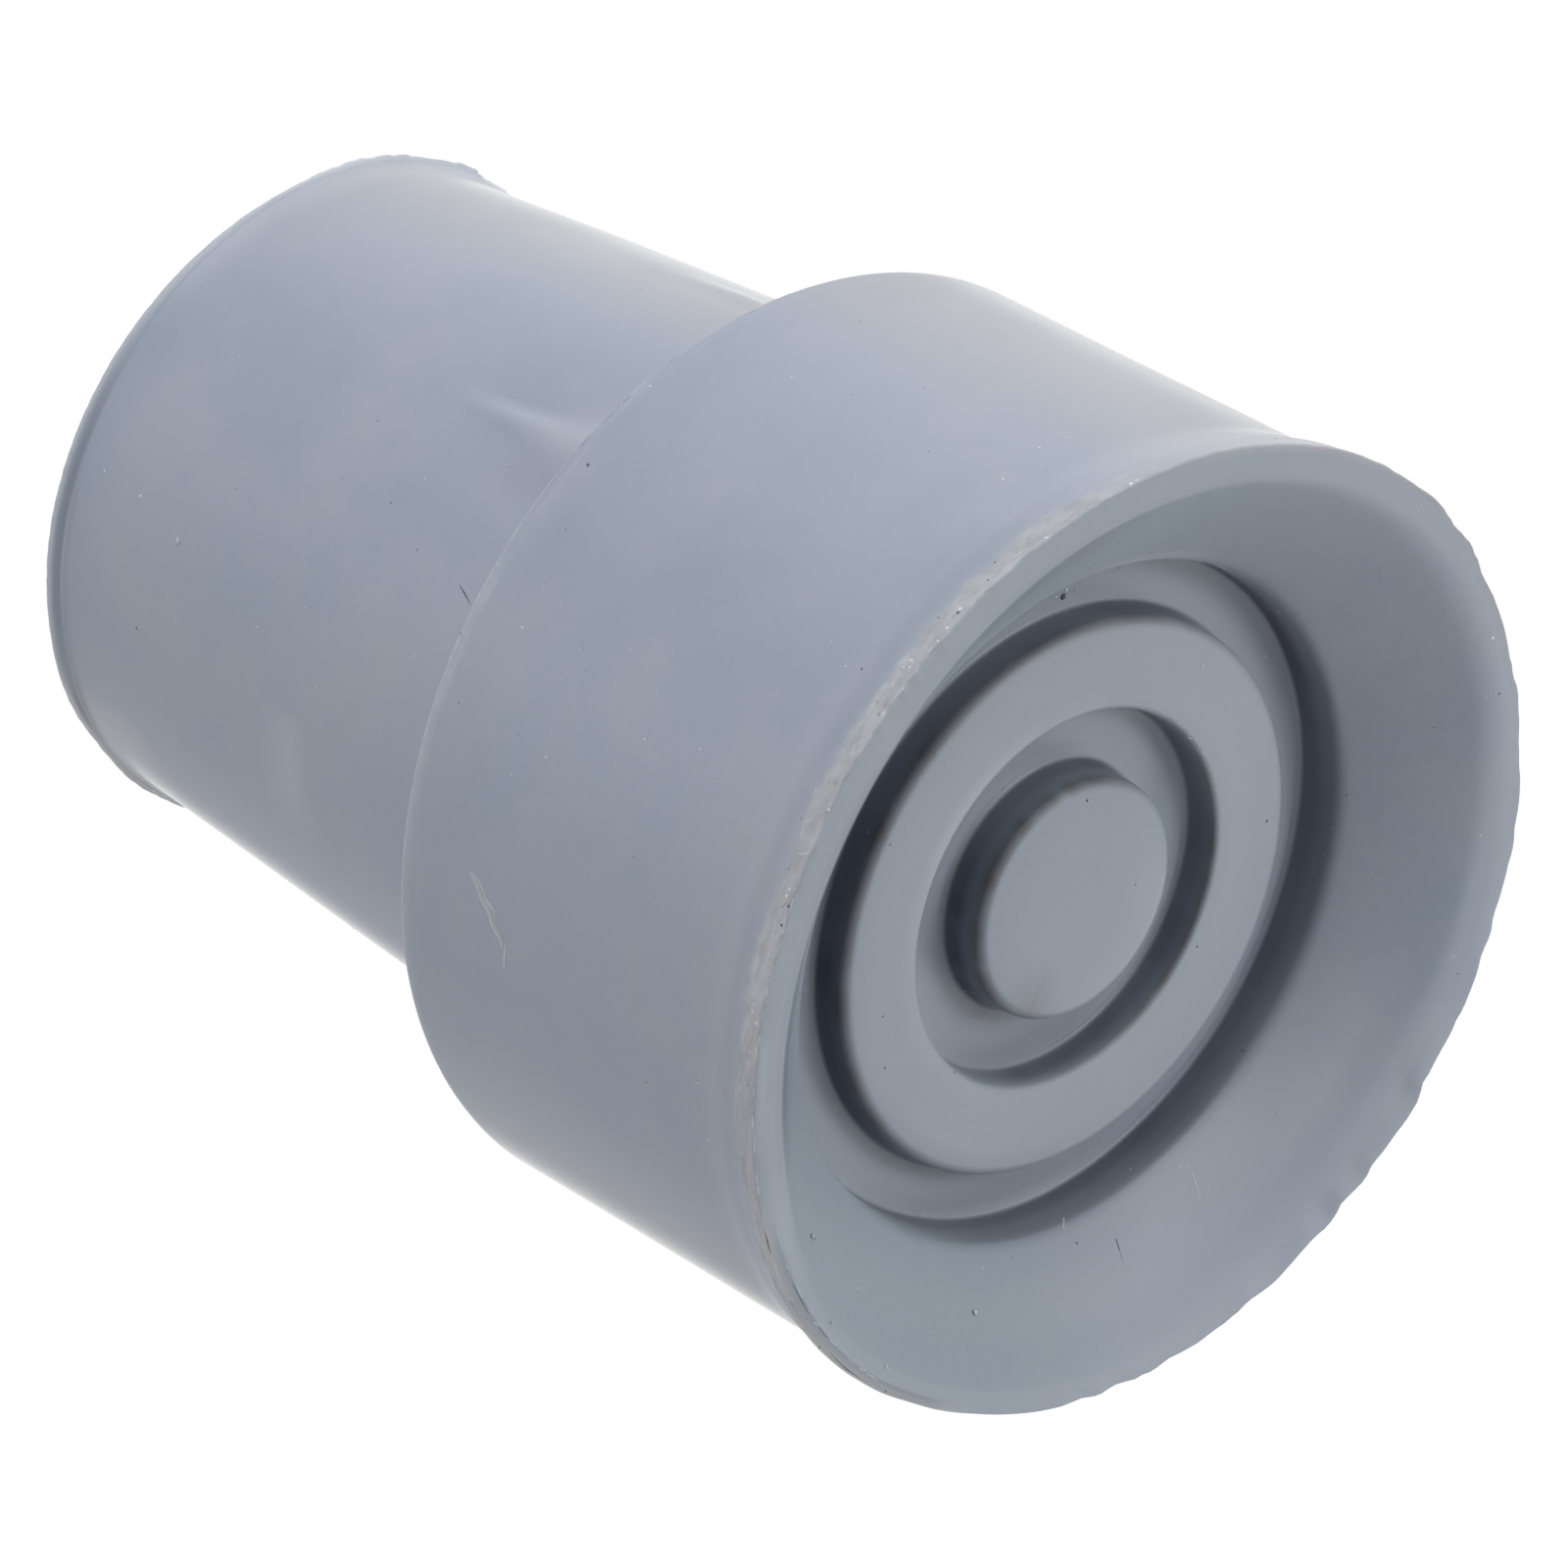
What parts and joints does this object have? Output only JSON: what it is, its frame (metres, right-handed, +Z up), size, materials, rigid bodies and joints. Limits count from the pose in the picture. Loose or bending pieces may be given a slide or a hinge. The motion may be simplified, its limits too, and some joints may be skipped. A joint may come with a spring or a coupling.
{
  "type": "rubber cane tip",
  "caption": "Moulded rubber tip for a walking cane, with a dished ring tread, a wide base and a tapered neck around a blind socket.",
  "frame": {"origin": "centre of the contact rim, on the plane that the tip stands on", "axes": "+Z up the socket's axis and out of its mouth; the tread faces -Z; the form is round about Z"},
  "size_m": [0.04, 0.04, 0.0493],
  "materials": {
    "rubber": "satin, blue-grey"
  },
  "bodies": {
    "root": {"cane_tip": "rubber"}
  },
  "joints": []
}
